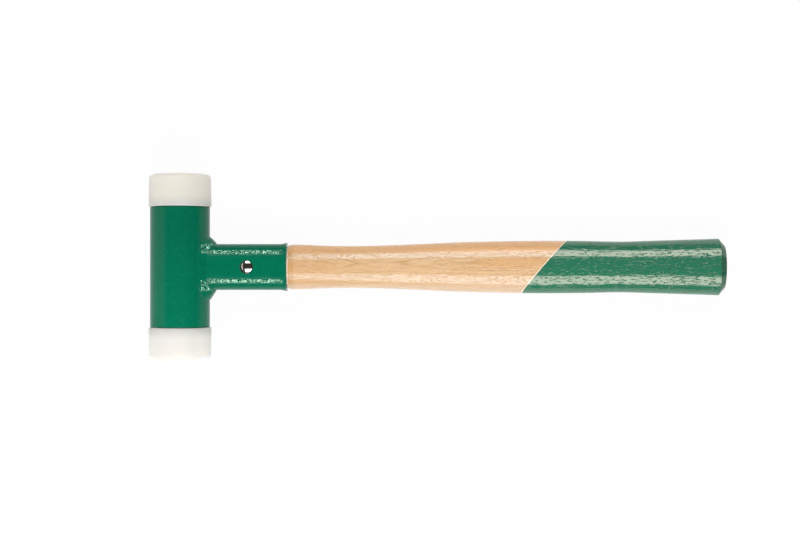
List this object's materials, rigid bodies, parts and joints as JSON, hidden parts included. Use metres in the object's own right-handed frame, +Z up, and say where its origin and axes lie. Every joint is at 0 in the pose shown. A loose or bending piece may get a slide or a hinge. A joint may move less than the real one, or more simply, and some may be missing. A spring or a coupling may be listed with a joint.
{
  "type": "dead blow hammer",
  "caption": "Dead blow hammer with a tubular steel head, pull-out nylon faces, loose steel shot inside, a welded oval socket and a pinned hickory handle with a dipped painted butt.",
  "frame": {"origin": "under the middle of the bounding box, on the surface that the hammer lies on", "axes": "+X along the handle from the head to the butt, +Y along the head towards the upper face, +Z up"},
  "size_m": [0.3696, 0.1186, 0.04],
  "materials": {
    "green_paint": "satin green paint",
    "white_nylon": "smooth off-white nylon",
    "hickory": "clear lacquer, butt dipped in satin green paint",
    "pin_steel": "bright steel",
    "plain_steel": "plain steel"
  },
  "bodies": {
    "hammer_body": {"head_tube": "green_paint", "handle_socket": "green_paint", "socket_weld": "green_paint", "upper_chamber_plate": "plain_steel", "lower_chamber_plate": "plain_steel", "handle": "hickory", "handle_pin": "pin_steel"},
    "upper_insert": {"upper_face": "white_nylon"},
    "lower_insert": {"lower_face": "white_nylon"},
    "shot_charge": {"shot_ball_01": "plain_steel", "shot_ball_02": "plain_steel", "shot_ball_03": "plain_steel", "shot_ball_04": "plain_steel", "shot_ball_05": "plain_steel", "shot_ball_06": "plain_steel", "shot_ball_07": "plain_steel", "shot_ball_08": "plain_steel", "shot_ball_09": "plain_steel", "shot_ball_10": "plain_steel", "shot_ball_11": "plain_steel", "shot_ball_12": "plain_steel", "shot_ball_13": "plain_steel", "shot_ball_14": "plain_steel", "shot_ball_15": "plain_steel", "shot_ball_16": "plain_steel", "shot_ball_17": "plain_steel", "shot_ball_18": "plain_steel", "shot_ball_19": "plain_steel", "shot_ball_20": "plain_steel", "shot_ball_21": "plain_steel", "shot_ball_22": "plain_steel", "shot_ball_23": "plain_steel", "shot_ball_24": "plain_steel", "shot_ball_25": "plain_steel", "shot_ball_26": "plain_steel", "shot_ball_27": "plain_steel", "shot_ball_28": "plain_steel", "shot_ball_29": "plain_steel", "shot_ball_30": "plain_steel", "shot_ball_31": "plain_steel", "shot_ball_32": "plain_steel", "shot_ball_33": "plain_steel", "shot_ball_34": "plain_steel", "shot_ball_35": "plain_steel", "shot_ball_36": "plain_steel"}
  },
  "joints": [
    {"name": "upper_face_pull", "type": "slide", "parent": "hammer_body", "child": "upper_insert", "axis": [0, 1, 0], "range_m": [0, 0.02]},
    {"name": "lower_face_pull", "type": "slide", "parent": "hammer_body", "child": "lower_insert", "axis": [0, -1, 0], "range_m": [0, 0.02]},
    {"name": "shot_slide", "type": "slide", "parent": "hammer_body", "child": "shot_charge", "axis": [0, 1, 0], "range_m": [-0.004, 0.004]}
  ]
}
